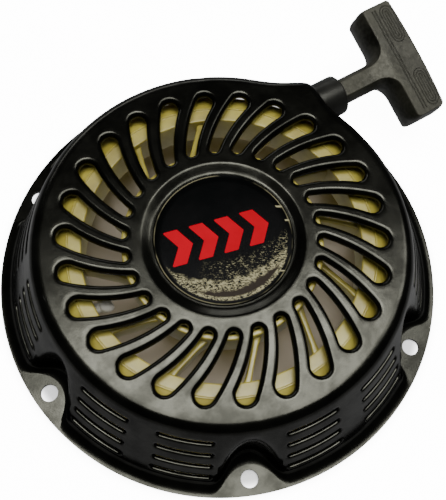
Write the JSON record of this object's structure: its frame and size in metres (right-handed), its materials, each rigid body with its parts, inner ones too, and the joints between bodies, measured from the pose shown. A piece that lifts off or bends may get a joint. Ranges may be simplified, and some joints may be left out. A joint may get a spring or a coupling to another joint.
{
  "type": "recoil starter",
  "caption": "Round stamped-steel pull starter for a small engine, with a slotted face, louvred sides, spring-loaded rope reel, ratchet pawls and a T-shaped pull grip.",
  "frame": {"origin": "centre of the bolt circle, on the mounting face under the flange", "axes": "+Z out of the engine along the reel's axis, +X along the rope's pull"},
  "size_m": [0.2485, 0.215, 0.0476],
  "materials": {
    "black_paint": "semi-gloss black paint on pressed steel",
    "zinc_steel": "zinc plated",
    "spring_steel": "blued spring steel",
    "pawl_steel": "hardened steel, oiled",
    "label": "printed black film, worn at its rim",
    "black_plastic": "moulded black nylon",
    "grip_plastic": "moulded black plastic, lightly worn",
    "cream_nylon": "natural cream nylon, satin",
    "rope": "braided polyester rope"
  },
  "bodies": {
    "root": {"case_shell": "black_paint", "centre_post": "zinc_steel", "label_disc": "label", "rope_guide": "black_plastic", "setting_screw": "zinc_steel", "screw_washer": "zinc_steel", "return_spring": "spring_steel", "rope_lead": "rope"},
    "reel": {"reel": "cream_nylon", "rope_coil": "rope", "reel_knot": "rope"},
    "guide": {"ratchet_guide": "zinc_steel", "friction_spring": "spring_steel"},
    "pawl_a": {"pawl_a": "pawl_steel", "pawl_spring_a": "spring_steel"},
    "pawl_b": {"pawl_b": "pawl_steel", "pawl_spring_b": "spring_steel"},
    "grip": {"grip": "grip_plastic", "grip_retainer": "zinc_steel", "grip_knot": "rope", "rope_run": "rope"}
  },
  "joints": [
    {"name": "reel_spin", "type": "hinge", "parent": "root", "child": "reel", "pos_m": [0, 0, 0.03], "axis": [0, 0, -1], "range_deg": [0, 900], "stiffness_Nm_per_rad": 0.03, "springref_deg": -114.59, "deforming": ["return_spring"]},
    {"name": "grip_pull", "type": "slide", "parent": "root", "child": "grip", "axis": [1, 0, 0], "range_m": [0, 1.1], "deforming": ["rope_run"]},
    {"name": "guide_turn", "type": "hinge", "parent": "reel", "child": "guide", "pos_m": [0, 0, 0.013], "axis": [0, 0, 1], "range_deg": [0, 20], "stiffness_Nm_per_rad": 0.02, "springref_deg": -5.73},
    {"name": "pawl_a_swing", "type": "hinge", "parent": "reel", "child": "pawl_a", "pos_m": [0.026, 0, 0.018], "axis": [0, 0, 1], "range_deg": [0, 25], "deforming": ["pawl_spring_a"]},
    {"name": "pawl_b_swing", "type": "hinge", "parent": "reel", "child": "pawl_b", "pos_m": [-0.026, 0, 0.018], "axis": [0, 0, 1], "range_deg": [0, 25], "deforming": ["pawl_spring_b"]}
  ],
  "couplings": [
    {"joint": "grip_pull", "follows": "reel_spin", "m_per_rad": 0.0698},
    {"joint": "pawl_a_swing", "follows": "guide_turn", "ratio": 1.25},
    {"joint": "pawl_b_swing", "follows": "guide_turn", "ratio": 1.25}
  ]
}
